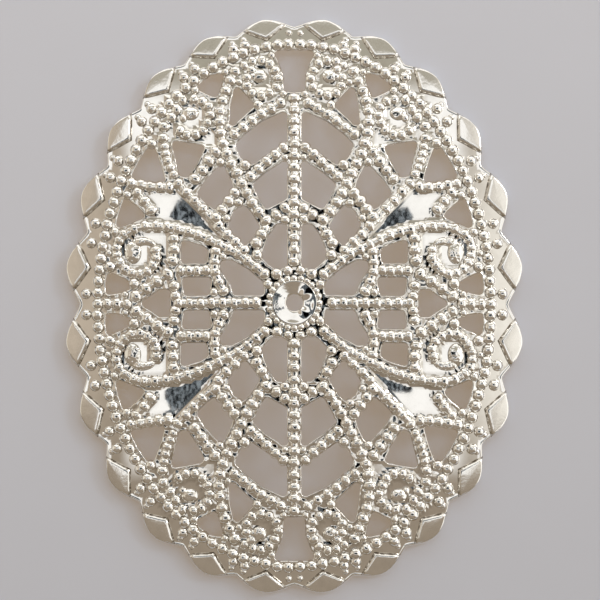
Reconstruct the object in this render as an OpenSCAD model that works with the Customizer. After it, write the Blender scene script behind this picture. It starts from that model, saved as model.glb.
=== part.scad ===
// Oval filigree charm: one stamped, domed and pierced sheet with raised wires.
// It lies rim down. +Z is up through the dome, +Y runs along the oval.

/* [Oval] */
// Length of the oval over its scallops
length = 45; // [40:0.5:50]
// Width of the oval over its scallops
width = 35.8; // [32:0.2:40]
// How far a valley at the ends of the oval lies inside the scallops beside it
end_valley = 0.75; // [0.6:0.05:1]
// How far a valley at the sides of the oval lies inside the scallops beside it
side_valley = 1.25; // [0.8:0.05:1.4]

/* [Sheet] */
// Thickness of the sheet
sheet = 0.45; // [0.35:0.05:0.6]
// Rise of the dome from the rim to the middle
dome_rise = 2.8; // [2:0.1:3.6]
// How far each side of a gap's corner is cut back
corner = 0.2; // [0.1:0.05:0.3]

/* [Relief] */
// Height of the raised wires and lozenges above the sheet
relief = 0.3; // [0.2:0.05:0.4]
// Width of the raised border wire
border_w = 0.8; // [0.6:0.05:1]
// Width of the raised wires of the lattice
wire_w = 0.65; // [0.5:0.05:0.7]

/* [Centre] */
// Diameter of the hole in the middle
hole_d = 1.3; // [1:0.1:1.6]
// Diameter of the dished cup round the hole
cup_d = 3.4; // [3:0.1:3.6]
// Height of the cup's lip above the sheet
cup_rise = 0.4; // [0.3:0.05:0.5]

/* [Hidden] */
$fn = 48;

// Length and width that the tables below are charted at
chart_length = 45;
chart_width = 35.8;

// Corners of each gap in one quarter. One that starts and ends on an axis is half a gap.
GAPS = [
    ["keystone", [[0, 20], [1.25, 20], [1.6, 19.75], [1.2, 19], [0.85, 18], [0.8, 16.65], [0, 16.65]]],
    ["outer shoulder", [[5.5, 18.2], [6.7, 17.95], [7.8, 17], [6.1, 16.15], [5.75, 17.2]]],
    ["inner shoulder", [[3.05, 15.55], [4.4, 17], [4.7, 16.9], [5, 15.6], [5.05, 14], [4.75, 14]]],
    ["kite", [[0.58, 14.95], [0.95, 14.95], [2.5, 14.25], [4, 13.1], [4.6, 12.4], [4.2, 11.4],
        [3.35, 10.8], [2, 11.75], [0.58, 12.65]]],
    ["second kite", [[0.58, 11.05], [0.85, 11.05], [2.3, 10.1], [3.25, 9.25], [2.7, 8.1],
        [2.2, 7.3], [0.58, 8.15]]],
    ["diamond", [[5.5, 10.75], [5.85, 10.75], [7, 9.55], [7.6, 8.55], [6.9, 7.85], [6.2, 7.3],
        [5.5, 8], [4.75, 8.8], [4.9, 9.5]]],
    ["triangle", [[6.95, 12.35], [9.65, 12.8], [8.95, 10], [8.35, 9.85], [7.6, 11]]],
    ["rim triangle", [[10.95, 12.25], [11.5, 12.25], [12.2, 11.2], [12.85, 9.9], [11.5, 9.65],
        [10.05, 9.45], [10.4, 10.7]]],
    ["leaf tip", [[13.1, 8.25], [13.35, 8.2], [13.75, 7.1], [14, 5.85], [11.55, 6.8], [12.2, 7.5]]],
    ["heart", [[4, 7.65], [4.7, 7.15], [5.15, 6.1], [4.55, 5.1], [3.8, 4.45], [3.1, 5.3],
        [2.7, 5.95], [3.4, 7.1]]],
    ["cradle", [[0.58, 6.1], [1.35, 6.1], [2, 5.2], [2.6, 3.6], [1.9, 2.9], [1.3, 2.5], [0.58, 2.95]]],
    ["wing", [[2.35, 1.5], [2.35, 0.6], [4.7, 0.6], [5, 1.5], [5.75, 2.6], [5.7, 3.25], [4.9, 3.3],
        [3.6, 2.6]]],
    ["upper window", [[6.7, 4.1], [7.2, 4.45], [8.8, 4.95], [8.8, 3.12], [6.85, 3.12]]],
    ["lower window", [[6.45, 1.98], [8.75, 1.98], [8.55, 0.6], [6.65, 0.6]]],
    ["side point", [[9.7, 0], [9.65, 1.05], [10.5, 1.05], [11.2, 0.55], [12.1, 0]]],
    ["rim point", [[12.5, 1.3], [13.2, 1.9], [14.6, 2.5], [14.75, 1.6], [14.7, 0.7], [13.5, 0.9]]]
];

// Line of each raised wire in one quarter. One that runs along an axis is whole.
WIRES = [
    ["spine", [[0, 16.4], [0, 1.5]]],
    ["cross bar", [[1.5, 0], [9.2, 0]]],
    ["rim bar", [[12.6, 0], [15, 0]]],
    ["top arch", [[0, 16], [1.05, 15.65], [2.55, 14.75], [3.9, 13.75], [5.6, 12.4]]],
    ["middle arch", [[0, 12.45], [1.7, 11.3], [2.9, 10.4], [3.8, 9.5]]],
    ["low arch", [[0, 8], [1.1, 7.3], [2.2, 6.6]]],
    ["rib", [[4.9, 18.8], [5.25, 17.1], [5.6, 15.4], [5.7, 13.6], [5.4, 11.8], [4.2, 9.3], [2.2, 6.6]]],
    ["first cross", [[5.6, 12.4], [6.9, 10.9], [8.5, 9]]],
    ["second cross", [[4.1, 9], [5.1, 7.7], [6.2, 6.2]]],
    ["third cross", [[2.05, 6.6], [2.5, 5.3], [3.3, 4]]],
    ["leaf's upper edge", [[10.3, 13.4], [10.2, 12], [9.7, 10.4], [8.65, 8.75], [5.45, 5.3], [3.9, 3.9], [1.2, 1.6]]],
    ["leaf's lower edge", [[13.2, 5.5], [12.5, 6], [10.8, 6.15], [9.2, 6], [7.4, 5.4], [3.4, 2.95]]],
    ["leaf's cap", [[9, 8.9], [11.2, 9.1], [13.3, 9.4]]],
    ["leaf's end", [[13.1, 9.3], [12.2, 8.2], [11, 7]]],
    ["side post", [[9.4, 5.9], [9.35, 3], [9.2, 0]]],
    ["rung", [[6.2, 2.55], [9.3, 2.55]]],
    ["inner post", [[5.5, 0], [6, 1.7], [6.25, 3], [6.2, 4.6]]],
    ["scroll's foot", [[9.4, 2], [11, 1.4], [12.2, 0.7], [13.4, 0]]],
    ["scroll's shelf", [[11.5, 2.2], [12.8, 2.35], [14.6, 3.1]]]
];

// Round scrolls in one quarter: middle, radius of the ring's line, radius of the boss in it
SCROLLS = [
    ["end scroll", [2.6, 17.75], 1.35, 0.5],
    ["shoulder scroll", [7.95, 14.65], 1.5, 0.6],
    ["side scroll", [12.15, 4.2], 1.65, 0.7]
];

// Lozenge in its scallop: along the rim, and out from the line of its tips
LOZENGE = [[-1.4, 0], [-0.75, 0.5], [0.75, 0.5], [1.4, 0], [0, -1]];
lozenge_inset = 0.95;

scallops = 24;
points_per_scallop = 6;
// Exponents that make the oval a little full in its corners, and its scallops round
oval_power = 0.98;
scallop_power = 1.25;
// Half sizes of the border wire's line, and its steps round a quarter
border_x = 15.35;
border_y = 20.5;
border_steps = 11;
// Thickness of the cup's lip, height of its floor over the sheet at the hole, and depth of its seat
cup_wall = 0.3;
cup_floor = 0.05;
cup_seat = 0.1;
// A slit in the relief that is narrower than this is closed
slit = 0.12;
// The most of a gap's side that the cut at one corner takes
corner_share = 0.4;
// Steps round each circle of the dome, and degrees that it runs past each end of the oval
dome_steps = 180;
dome_margin = 2;

function stretch(p) = [p[0] * width / chart_width, p[1] * length / chart_length];
function stretched(a) = [for (p = a) stretch(p)];
function backwards(a) = [for (i = [len(a) - 1:-1:0]) a[i]];

// A half gap with its mirror image over the axis that it starts on
function closed_over(p) =
    p[0][0] == 0 ? concat(p, [for (q = backwards(p)) if (q[0] > 0) [-q[0], q[1]]]) :
    p[0][1] == 0 ? concat(p, [for (q = backwards(p)) if (q[1] > 0) [q[0], -q[1]]]) : p;

// A closed outline with each corner cut back by r, or by less on a short side
function eased(p, r) = [
    for (i = [0:len(p) - 1])
        let (a = p[(i + len(p) - 1) % len(p)], b = p[i], c = p[(i + 1) % len(p)])
        for (q = [a, c])
            b + (q - b) * min(r / norm(q - b), corner_share)
];

// Outline of a band of width w along a line of points, with mitred corners
function heading(a, b) = (b - a) / norm(b - a);
function side_step(p, i) =
    let (u = i == 0 ? heading(p[0], p[1]) : heading(p[i - 1], p[i]))
    let (v = i == len(p) - 1 ? u : heading(p[i], p[i + 1]))
    [-u[1] - v[1], u[0] + v[0]] / (1 + u * v);
function band(p, w) = concat(
    [for (i = [0:len(p) - 1]) p[i] + side_step(p, i) * w / 2],
    [for (i = [len(p) - 1:-1:0]) p[i] - side_step(p, i) * w / 2]
);

// Point on the oval at an angle, inset from the tips of the scallops
half_l = length / 2 / pow(cos(180 / scallops), oval_power);
half_w = width / 2 / pow(cos(180 / scallops), oval_power);
function rim_at(a, inset) = [
    (half_w - inset) * sign(cos(a)) * pow(abs(cos(a)), oval_power),
    (half_l - inset) * sign(sin(a)) * pow(abs(sin(a)), oval_power)
];
function valley(a) = side_valley + (end_valley - side_valley) * pow(sin(a), 2);
function outline() = [
    for (i = [0:scallops * points_per_scallop - 1])
        let (a = 360 * i / scallops / points_per_scallop)
        rim_at(a, valley(a) * (1 - pow(abs(sin(a * scallops / 2)), scallop_power)))
];

// Radii of the dome's two curves, from the half sizes and the rise
bow_x = (pow(width / 2, 2) + pow(dome_rise, 2)) / 2 / dome_rise;
bow_y = (pow(length / 2, 2) + pow(dome_rise, 2)) / 2 / dome_rise;

// Height of the dome's inner face, and of the lowest point of the rim
function dome_z(p) = dome_rise - bow_y
    + sqrt(pow(bow_y - bow_x + sqrt(pow(bow_x, 2) - pow(p[0], 2)), 2) - pow(p[1], 2));
rim_low = min([for (p = outline()) dome_z(p)]);

// Wall between two heights over the dome's inner face: a slice of a ring about a line along X
module dome(low, high) {
    spin = 2 * (asin(length / 2 / bow_y) + dome_margin);
    translate([0, 0, dome_rise - bow_y])
        rotate([0, -90, 0]) rotate([0, 0, -spin / 2]) rotate_extrude(angle = spin, $fn = dome_steps)
            translate([bow_y - bow_x, 0]) intersection() {
                difference() {
                    circle(bow_x + high, $fn = dome_steps);
                    circle(bow_x + low, $fn = dome_steps);
                }
                translate([0, -width]) square([2 * bow_x, 2 * width]);
            }
}

module both_ways(along) {
    children();
    mirror(along) children();
}

// One in each quarter, or one at each end of the axis that it lies on
module all_round(p) {
    if (p[0][0] == 0 && p[len(p) - 1][0] == 0) both_ways([0, 1]) children();
    else if (p[0][1] == 0 && p[len(p) - 1][1] == 0) both_ways([1, 0]) children();
    else both_ways([1, 0]) both_ways([0, 1]) children();
}

module pierced() {
    difference() {
        polygon(outline());
        for (g = GAPS)
            all_round(g[1]) polygon(eased(stretched(closed_over(g[1])), corner));
        circle(d = hole_d);
    }
}

module border() {
    ring = [for (i = [0:4 * border_steps - 1]) [cos(90 * i / border_steps), sin(90 * i / border_steps)]];
    function oval(grow) = [for (p = ring)
        [p[0] * (border_x + grow) * width / chart_width, p[1] * (border_y + grow) * length / chart_length]];
    difference() {
        polygon(oval(border_w / 2));
        polygon(oval(-border_w / 2));
    }
}

module scrolls() {
    for (s = SCROLLS)
        all_round([s[1]]) translate(stretch(s[1])) {
            difference() {
                circle(s[2] + wire_w / 2);
                circle(s[2] - wire_w / 2);
            }
            circle(s[3]);
        }
}

// The border, the wires and the lozenges, with the slits where they meet closed
module lines() {
    offset(delta = -slit / 2) offset(delta = slit / 2) {
        border();
        for (w = WIRES)
            all_round(w[1]) polygon(band(stretched(w[1]), wire_w));
        lozenges();
    }
}

module lozenges() {
    for (i = [0:scallops - 1]) {
        a = 360 * (i + 0.5) / scallops;
        along = heading(rim_at(a - 1, lozenge_inset), rim_at(a + 1, lozenge_inset));
        out = [along[1], -along[0]];
        middle = rim_at(a, lozenge_inset);
        polygon([for (p = LOZENGE) middle + p[0] * along + p[1] * out]);
    }
}

// A flat pattern as a wall between two heights over the dome's inner face
module on_dome(low, high) {
    intersection() {
        linear_extrude(3 * dome_rise, center = true) children();
        dome(low, high);
    }
}

module cup() {
    lip = cup_d / 2;
    translate([0, 0, dome_rise]) rotate_extrude() polygon([
        [hole_d / 2, sheet / 2], [lip, sheet / 2 - cup_seat], [lip, sheet + cup_rise],
        [lip - cup_wall, sheet + cup_rise], [hole_d / 2, sheet + cup_floor]
    ]);
}

module filigree() {
    color("silver") translate([0, 0, -rim_low]) {
        on_dome(0, sheet) pierced();
        on_dome(sheet / 2, sheet + relief) {
            lines();
            scrolls();
        }
        cup();
    }
}

filigree();
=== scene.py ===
"""Oval filigree charm, stamped in brass and bright silver plated, on a pale floor.

The charm is one domed, pierced sheet with beaded rows, scrolls, scalloped rim lozenges and a dished cup.
Lengths in the classes are in millimetres. Tables hold one quarter of the charm, because both halves mirror.
"""

import sys

import logging
import math
from dataclasses import dataclass, field
from enum import Enum

import bpy
import numpy as np
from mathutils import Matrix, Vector


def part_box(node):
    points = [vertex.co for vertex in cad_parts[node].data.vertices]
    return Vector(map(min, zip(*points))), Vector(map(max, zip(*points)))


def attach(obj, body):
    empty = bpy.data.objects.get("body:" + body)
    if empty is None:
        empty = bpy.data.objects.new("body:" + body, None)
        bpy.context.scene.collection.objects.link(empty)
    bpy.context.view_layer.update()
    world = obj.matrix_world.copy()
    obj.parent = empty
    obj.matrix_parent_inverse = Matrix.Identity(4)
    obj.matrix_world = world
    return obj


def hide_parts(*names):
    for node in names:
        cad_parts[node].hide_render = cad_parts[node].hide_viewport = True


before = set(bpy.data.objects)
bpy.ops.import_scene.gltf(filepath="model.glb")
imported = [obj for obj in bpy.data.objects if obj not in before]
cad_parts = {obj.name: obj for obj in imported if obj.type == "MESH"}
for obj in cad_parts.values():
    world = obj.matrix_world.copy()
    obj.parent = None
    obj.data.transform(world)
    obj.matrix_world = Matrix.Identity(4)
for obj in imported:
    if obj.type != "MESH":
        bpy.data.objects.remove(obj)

Array = np.ndarray
Pair = tuple[float, float]
Line = tuple[Pair, ...]
Tree = bpy.types.NodeTree
Socket = bpy.types.NodeSocket

MM = 0.001
BODY = "root"
NODE = "filigree"
# How far the solid's cup, its highest part, stands over the dome.
CUP_RISE = 0.4

log = logging.getLogger("charm")


class Axis(Enum):
    """The signs of x and y that repeat a quarter's line: over the length, over the width, or in every quarter."""

    LENGTH = ((1, 1), (1, -1))
    WIDTH = ((1, 1), (-1, 1))
    QUARTERS = ((1, 1), (-1, 1), (-1, -1), (1, -1))


def linear(hex_colour: str) -> tuple[float, float, float, float]:
    """Turns an sRGB hex colour into a linear one.

    Args:
        hex_colour: the colour as seven characters, such as #F4EFE6.

    Returns:
        Linear red, green, blue and an alpha of one.
    """
    parts = np.array([int(hex_colour[i : i + 2], 16) / 255 for i in (1, 3, 5)])
    parts = np.where(parts <= 0.04045, parts / 12.92, ((parts + 0.055) / 1.055) ** 2.4)
    return (*parts.tolist(), 1.0)


def add_node(
    tree: Tree,
    kind: str,
    values: dict[str | int, object] | None = None,
    links: dict[str | int, Socket] | None = None,
    **settings: object,
) -> bpy.types.Node:
    """Adds a node with its settings, input values and incoming links.

    Args:
        tree: the node tree.
        kind: the node's type name without its ShaderNode prefix.
        values: a value for each named or numbered input.
        links: a socket for each named or numbered input.
        **settings: the node's own properties.

    Returns:
        The new node.
    """
    node = tree.nodes.new("ShaderNode" + kind)
    for name, value in settings.items():
        setattr(node, name, value)
    for name, value in (values or {}).items():
        node.inputs[name].default_value = value
    for name, socket in (links or {}).items():
        tree.links.new(socket, node.inputs[name])
    return node


def bare_tree(owner: bpy.types.Material | bpy.types.World) -> Tree:
    """Turns on a material's or a world's nodes and empties them.

    Args:
        owner: the material or the world.

    Returns:
        Its node tree, without nodes.
    """
    owner.use_nodes = True
    owner.node_tree.nodes.clear()
    return owner.node_tree


def placed(name: str, data: bpy.types.ID) -> bpy.types.Object:
    """Makes an object and links it to the scene.

    Args:
        name: the object's name.
        data: its mesh, lamp or camera data.

    Returns:
        The object.
    """
    thing = bpy.data.objects.new(name, data)
    bpy.context.scene.collection.objects.link(thing)
    return thing


def unit(vectors: Array) -> Array:
    """The vectors along the last axis, each divided by its own length."""
    return vectors / np.linalg.norm(vectors, axis=-1, keepdims=True)


def bearings(count: int, shift: float = 0.0) -> Array:
    """Equally spaced angles in radians that go round once, from a share of a step past the X axis."""
    return (np.arange(count) + shift) / count * 2 * np.pi


def mitres(outline: Array, least: float = 0.0) -> Array:
    """How far each corner of a closed outline moves when every side moves to its left by one.

    The move is the sum of the two sides' left-hand directions, divided by one plus their cosine.

    Args:
        outline: x and y of each corner.
        least: the smallest divisor, which keeps a sharp corner's move short.

    Returns:
        The moves.
    """
    ahead = unit(np.roll(outline, -1, axis=0) - outline)
    left = np.stack([-ahead[:, 1], ahead[:, 0]], -1)
    before = np.roll(left, 1, axis=0)
    return (left + before) / np.maximum(1 + (left * before).sum(1, keepdims=True), least)


def mirrored(points: Array) -> list[Array]:
    """Repeats a quarter's points in every quarter that they don't already fill.

    Args:
        points: x and y of each point.

    Returns:
        One array of points for each repeat.
    """
    if not points[:, 0].any():
        way = Axis.LENGTH
    elif not points[:, 1].any():
        way = Axis.WIDTH
    else:
        way = Axis.QUARTERS
    return [points * np.array(signs) for signs in way.value]


def smooth_line(line: Line, steps: int = 12) -> Array:
    """Draws a smooth line through the given points.

    A point between two given ones is the usual cubic blend of the four nearest points, with the tangent at each
    given point half the way from its neighbour before to its neighbour after. The ends are extended straight.

    Args:
        line: the points to pass through.
        steps: points on each span.

    Returns:
        The line's points.
    """
    p = np.array(line, float)
    if len(p) < 3:
        t = np.linspace(0, 1, steps + 1)[:, None]
        return p[0] * (1 - t) + p[-1] * t
    p = np.vstack([2 * p[0] - p[1], p, 2 * p[-1] - p[-2]])
    a, b, c, d = p[:-3, None], p[1:-2, None], p[2:-1, None], p[3:, None]
    t = (np.arange(steps) / steps)[None, :, None]
    curve = b + 0.5 * t * (c - a + t * (2 * a - 5 * b + 4 * c - d + t * (3 * (b - c) + d - a)))
    return np.vstack([curve.reshape(-1, 2), p[-2]])


def spaced(curve: Array, count: int) -> Array:
    """Points at equal distances along a curve, its ends included.

    Args:
        curve: the curve's points.
        count: how many points to return.

    Returns:
        The equally spaced points.
    """
    reach = np.concatenate([[0], np.cumsum(np.hypot(*np.diff(curve, axis=0).T))])
    at = np.linspace(0, reach[-1], count)
    return np.stack([np.interp(at, reach, curve[:, k]) for k in (0, 1)], axis=1)


def band_faces(rows: int, columns: int) -> Array:
    """Four-cornered faces between neighbouring rows of points, each row closed on itself.

    Args:
        rows: number of rows.
        columns: points in each row.

    Returns:
        Point numbers, four for each face.
    """
    i, j = np.meshgrid(np.arange(rows - 1), np.arange(columns), indexing="ij")
    here, there, k = i * columns, (i + 1) * columns, (j + 1) % columns
    return np.stack([here + j, here + k, there + k, there + j], -1).reshape(-1, 4)


@dataclass
class Skin:
    """Closed surfaces gathered for one mesh: their points and faces, and at each point the two attributes."""

    name: str
    points: list[Array] = field(default_factory=list)
    faces: list[Array] = field(default_factory=list)
    crevice_shades: list[Array] = field(default_factory=list)
    stipples: list[Array] = field(default_factory=list)
    total: int = 0

    def add(
        self, points: Array, faces: list[Array], crevice_shade: Array | float = 0.0, stipple: Array | float = 0.0
    ) -> None:
        """Adds one surface.

        Args:
            points: x, y and z of each point.
            faces: arrays of point numbers, each array with one number of corners.
            crevice_shade: how much painted shade each point has, deep in a crevice, from 0 to 1.
            stipple: how uneven the ground is at each point, from 0 to 1.
        """
        self.points.append(points)
        self.faces.extend(f + self.total for f in faces)
        for layer, values in ((self.crevice_shades, crevice_shade), (self.stipples, stipple)):
            layer.append(np.broadcast_to(np.asarray(values, float), (len(points),)))
        self.total += len(points)

    def add_shells(self, tops: Array, rings: Array, crevice_shade: Array) -> None:
        """Adds closed shells, each with a point on top, rings that go down from it, and a face across the last.

        Args:
            tops: x, y and z of each shell's top.
            rings: the points of each shell's rings, counter-clockwise from above.
            crevice_shade: how much painted shade each ring has, deep in a crevice, from 0 to 1.
        """
        shells, count, sides = rings.shape[:3]
        points = np.concatenate([tops[:, None], rings.reshape(shells, -1, 3)], axis=1)
        j = np.arange(sides)
        fan = np.stack([np.zeros_like(j), 1 + j, 1 + (j + 1) % sides], -1)
        bands = band_faces(count, sides)[:, ::-1] + 1
        base = (1 + (count - 1) * sides + j[::-1])[None]
        start = (np.arange(shells) * points.shape[1])[:, None, None]
        faces = [(f[None] + start).reshape(-1, f.shape[1]) for f in (fan, bands, base)]
        self.add(points.reshape(-1, 3), faces, np.tile([0.0, *np.repeat(crevice_shade, sides)], shells))

    def build(self, material: bpy.types.Material) -> bpy.types.Object:
        """Makes the mesh and its object, smooth shaded, and ties it to the frame.

        Args:
            material: the finish.

        Returns:
            The object.
        """
        corners = np.concatenate([f.ravel() for f in self.faces]).astype(np.int32)
        sizes = np.concatenate([np.full(len(f), f.shape[1]) for f in self.faces])
        starts = np.concatenate([[0], np.cumsum(sizes)[:-1]]).astype(np.int32)
        points = np.concatenate(self.points) * MM
        mesh = bpy.data.meshes.new(self.name)
        mesh.vertices.add(len(points))
        mesh.vertices.foreach_set("co", points.astype(np.float32).ravel())
        mesh.loops.add(len(corners))
        mesh.loops.foreach_set("vertex_index", corners)
        mesh.polygons.add(len(starts))
        mesh.polygons.foreach_set("loop_start", starts)
        mesh.update(calc_edges=True)
        mesh.validate()
        mesh.shade_smooth()
        # The crevice attribute is painted shade; the stipple attribute drives a bump.
        for label, values in (("crevice_shade", self.crevice_shades), ("stipple", self.stipples)):
            layer = mesh.attributes.new(label, "FLOAT", "POINT")
            layer.data.foreach_set("value", np.concatenate(values).astype(np.float32))
        mesh.materials.append(material)
        piece = placed(self.name, mesh)
        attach(piece, BODY)
        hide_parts(NODE)
        return piece


@dataclass(frozen=True)
class SilverPlate:
    """Bright silver plating over stamped brass, polished in a barrel.

    The plating is a near-white metal with a little warmth. Barrel polishing leaves an orange peel of fine dents, so
    reflections break up, and duller silver in the crevices, where a browner colour is painted shade with some
    tarnish.
    The real dents are about a twentieth of a millimetre across, less than a pixel, so the peel is drawn at least four
    times as coarse, to show.
    """

    name: str
    colour: str = "#FAF8F4"
    # The darker colour is painted shade in the crevices, with some tarnish, and also the colour of the wear.
    tarnish_and_shade: str = "#8B7F6D"
    roughness: float = 0.1
    dullness: float = 0.12
    wear: float = 0.3
    spared: float = 0.12
    cloud_size: float = 0.9
    peel_size: float = 0.22
    peel_depth: float = 0.004
    peel_detail: float = 1.0
    sway_size: float = 1.8
    sway_depth: float = 0.02
    stipple_size: float = 0.5
    stipple_depth: float = 0.0

    def build(self) -> bpy.types.Material:
        """Makes the material.

        Noises in Object coordinates drive the bumps: one as large as the sway of a stamped sheet, one as large as
        the peel, and, where there is stippling, one times the stipple attribute for the ground that a punch leaves
        uneven. The attribute for crevices, which is painted shade, and the wear, which is a cloudy noise less the
        share that is spared, mix in the darker colour, which is painted shade with some tarnish, and the dullness.

        Returns:
            The material.
        """
        material = bpy.data.materials.new(self.name)
        tree = bare_tree(material)
        place = {"Vector": add_node(tree, "TexCoord").outputs["Object"]}
        patterns = (
            {"Scale": 1 / (self.sway_size * MM), "Detail": 1.0, "Roughness": 0.4},
            {"Scale": 1 / (self.peel_size * MM), "Detail": self.peel_detail},
            {"Scale": 1 / (self.cloud_size * MM), "Detail": 3.0},
        )
        sway, peel, cloud = (add_node(tree, "TexNoise", values, place).outputs["Fac"] for values in patterns)
        # Painted shade: the crevice attribute darkens the silver where beads and edges would shade it.
        crevice_shade = add_node(tree, "Attribute", attribute_name="crevice_shade").outputs["Fac"]
        share = {1: self.wear, 2: -self.spared}
        worn = add_node(tree, "Math", share, {0: cloud}, operation="MULTIPLY_ADD", use_clamp=True).outputs[0]
        shade_and_wear = add_node(tree, "Math", links={0: crevice_shade, 1: worn}, operation="ADD", use_clamp=True).outputs[0]
        colours = {"A": linear(self.colour), "B": linear(self.tarnish_and_shade)}
        tint = add_node(tree, "Mix", colours, {"Factor": shade_and_wear}, data_type="RGBA").outputs["Result"]
        grade = {1: self.dullness, 2: self.roughness}
        dull = add_node(tree, "Math", grade, {0: shade_and_wear}, operation="MULTIPLY_ADD").outputs[0]
        bumps = [(sway, self.sway_depth), (peel, self.peel_depth)]
        if self.stipple_depth > 0:
            grain = add_node(tree, "TexNoise", {"Scale": 1 / (self.stipple_size * MM), "Detail": 0.0}, place)
            stipple = add_node(tree, "Attribute", attribute_name="stipple").outputs["Fac"]
            uneven = add_node(tree, "Math", links={0: grain.outputs["Fac"], 1: stipple}, operation="MULTIPLY")
            bumps.append((uneven.outputs[0], self.stipple_depth))
        normal: dict[str | int, Socket] = {}
        for height, depth in bumps:
            bump = {"Strength": 1.0, "Distance": depth * MM}
            normal = {"Normal": add_node(tree, "Bump", bump, {"Height": height, **normal}).outputs[0]}
        surface = {"Base Color": tint, "Roughness": dull, **normal}
        shader = add_node(tree, "BsdfPrincipled", {"Metallic": 1.0}, surface)
        add_node(tree, "OutputMaterial", links={"Surface": shader.outputs[0]})
        return material


# The stamped ground is a clear mirror with slow bends, and pebbled between the beads, where it breaks up the light.
GROUND = SilverPlate("silver_plate_ground", roughness=0.03, peel_depth=0.0002, sway_depth=0.003, stipple_depth=0.1)
# The beads are a sharp mirror full of small dents, so each one has a bright spot and a few dark flecks.
BEADS = SilverPlate(
    "silver_plate_beads", roughness=0.02, dullness=0.06, peel_size=0.24, peel_depth=0.036, peel_detail=0.5,
    sway_depth=0.0,
)
# The arms and bosses in the scrolls have wide deep dents, which give them broad ripples of light.
SCROLLS = SilverPlate("silver_plate_scrolls", roughness=0.03, peel_size=0.36, peel_depth=0.1, sway_depth=0.0)
# The lozenges are rubbed flat on top, which leaves them satin, with a soft even reflection.
LOZENGES = SilverPlate("silver_plate_lozenges", roughness=0.12)
# The cup is burnished smooth, a calm and slightly soft mirror.
CUP = SilverPlate("silver_plate_cup", roughness=0.05, peel_depth=0.003, sway_depth=0.0)


@dataclass(frozen=True)
class Dome:
    """The sheet's two curved faces: a bow along the width carried round a bow along the length."""

    half_x: float = 17.9
    half_y: float = 22.5
    rise: float = 2.8
    sheet: float = 0.45
    lift: float = 0.0

    @property
    def bow_x(self) -> float:
        """Radius of the bow along the width."""
        return (self.half_x**2 + self.rise**2) / 2 / self.rise

    @property
    def bow_y(self) -> float:
        """Radius of the bow along the length."""
        return (self.half_y**2 + self.rise**2) / 2 / self.rise

    def height(self, x: Array, y: Array, above: Array | float) -> Array:
        """Height of the face that lies a given distance outside the inner one.

        With a and b the two bows' radii and h the distance, z is the root of (b - a + root((a + h)^2 - x^2))^2 - y^2,
        less b, plus the rise and the lift.

        Args:
            x: places across the oval.
            y: places along the oval.
            above: distance outside the inner face.

        Returns:
            The heights.
        """
        bow = self.bow_y - self.bow_x + np.sqrt((self.bow_x + above) ** 2 - x**2)
        return self.rise + self.lift - self.bow_y + np.sqrt(bow**2 - y**2)

    def normal(self, x: Array, y: Array) -> Array:
        """Unit vectors square to the outer face, from the slopes of the height's formula.

        Args:
            x: places across the oval.
            y: places along the oval.

        Returns:
            One vector for each place.
        """
        arm = np.sqrt((self.bow_x + self.sheet) ** 2 - x**2)
        bow = self.bow_y - self.bow_x + arm
        root = np.sqrt(bow**2 - y**2)
        return unit(np.stack([bow / root * x / arm, y / root, np.ones_like(root)], -1))

    def place(self, x: Array, y: Array, above: Array | float) -> Array:
        """Points a given distance square out from the outer face.

        Args:
            x: places of the feet across the oval.
            y: places of the feet along the oval.
            above: distances outside the outer face.

        Returns:
            x, y and z of each point.
        """
        x, y, above = np.broadcast_arrays(x, y, above)
        foot = np.stack([x, y, self.height(x, y, self.sheet)], -1)
        return foot + self.normal(x, y) * above[..., None]


@dataclass(frozen=True)
class Rim:
    """The scalloped edge of the oval."""

    half_x: float = 17.9
    half_y: float = 22.5
    scallops: int = 24
    end_valley: float = 0.75
    side_valley: float = 1.25
    scallop_power: float = 1.25
    oval_power: float = 0.98

    def at(self, angle: Array, inset: Array | float) -> Array:
        """Places on the oval through the scallops' tips, or inset from it.

        x is the half width, less the inset, times the cosine raised to a power just under one, and y is the same
        with the half length and the sine, which makes the oval a little full in its corners.

        Args:
            angle: angles in radians from the width's axis.
            inset: distance inside the tips.

        Returns:
            x and y of each place.
        """
        full = math.cos(math.pi / self.scallops) ** self.oval_power
        c, s = np.cos(angle), np.sin(angle)
        x = (self.half_x / full - inset) * np.sign(c) * np.abs(c) ** self.oval_power
        y = (self.half_y / full - inset) * np.sign(s) * np.abs(s) ** self.oval_power
        return np.stack([x, y], -1)

    def along(self, angle: Array, inset: float) -> Array:
        """Unit vectors along the rim, from the places a hundredth of a radian before and after."""
        return unit(self.at(angle + 0.01, inset) - self.at(angle - 0.01, inset))

    def outline(self, steps: int) -> Array:
        """The closed outline.

        The inset is the valley's depth times one less a power of the sine of the angle over the scallops, so it is
        nothing at a tip and the full depth in a valley.

        Args:
            steps: points on each scallop.

        Returns:
            x and y of each point, going round once.
        """
        angle = bearings(self.scallops * steps)
        depth = self.side_valley + (self.end_valley - self.side_valley) * np.sin(angle) ** 2
        wave = np.abs(np.sin(angle * self.scallops / 2)) ** self.scallop_power
        return self.at(angle, depth * (1 - wave))

    def scallop_middles(self, inset: float) -> tuple[Array, Array, Array]:
        """The middle of each scallop, the way along the rim there and the way out.

        Args:
            inset: distance inside the tips.

        Returns:
            Places, unit vectors along the rim and unit vectors outwards.
        """
        angle = bearings(self.scallops, 0.5)
        along = self.along(angle, inset)
        return self.at(angle, inset), along, np.stack([along[:, 1], -along[:, 0]], -1)


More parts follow.
